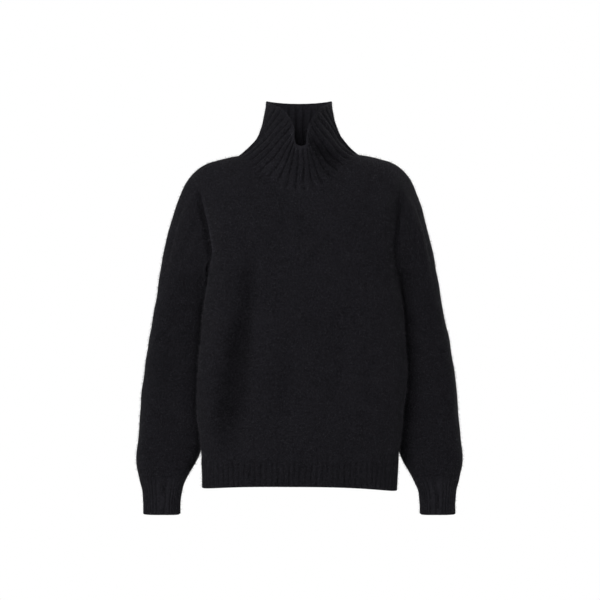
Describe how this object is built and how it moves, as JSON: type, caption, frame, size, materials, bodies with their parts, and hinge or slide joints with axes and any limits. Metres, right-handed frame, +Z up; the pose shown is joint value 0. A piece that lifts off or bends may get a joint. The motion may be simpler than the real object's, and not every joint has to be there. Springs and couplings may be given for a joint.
{
  "type": "turtleneck sweater",
  "caption": "Long-sleeved knit sweater with a tall ribbed funnel neck notched at the front, full sleeves gathered into ribbed cuffs, and a ribbed hem band, filled out as worn.",
  "frame": {"origin": "middle of the neck's base, level with the inner ends of the shoulder seams, where a wearer's neck and shoulders hold the sweater up", "axes": "+Z up, out of the collar; the front faces -Y; +X towards the wearer's left sleeve"},
  "size_m": [0.618, 0.2332, 0.7782],
  "materials": {
    "plain_knit": "matte, felted wool knit, very dark navy",
    "rib_knit": "matte, ribbed wool knit, very dark navy"
  },
  "bodies": {
    "root": {"front": "plain_knit", "back": "plain_knit", "hem_front": "rib_knit", "hem_back": "rib_knit", "sleeve_left": "plain_knit", "sleeve_right": "plain_knit", "cuff_left": "rib_knit", "cuff_right": "rib_knit", "collar": "rib_knit"}
  },
  "joints": []
}
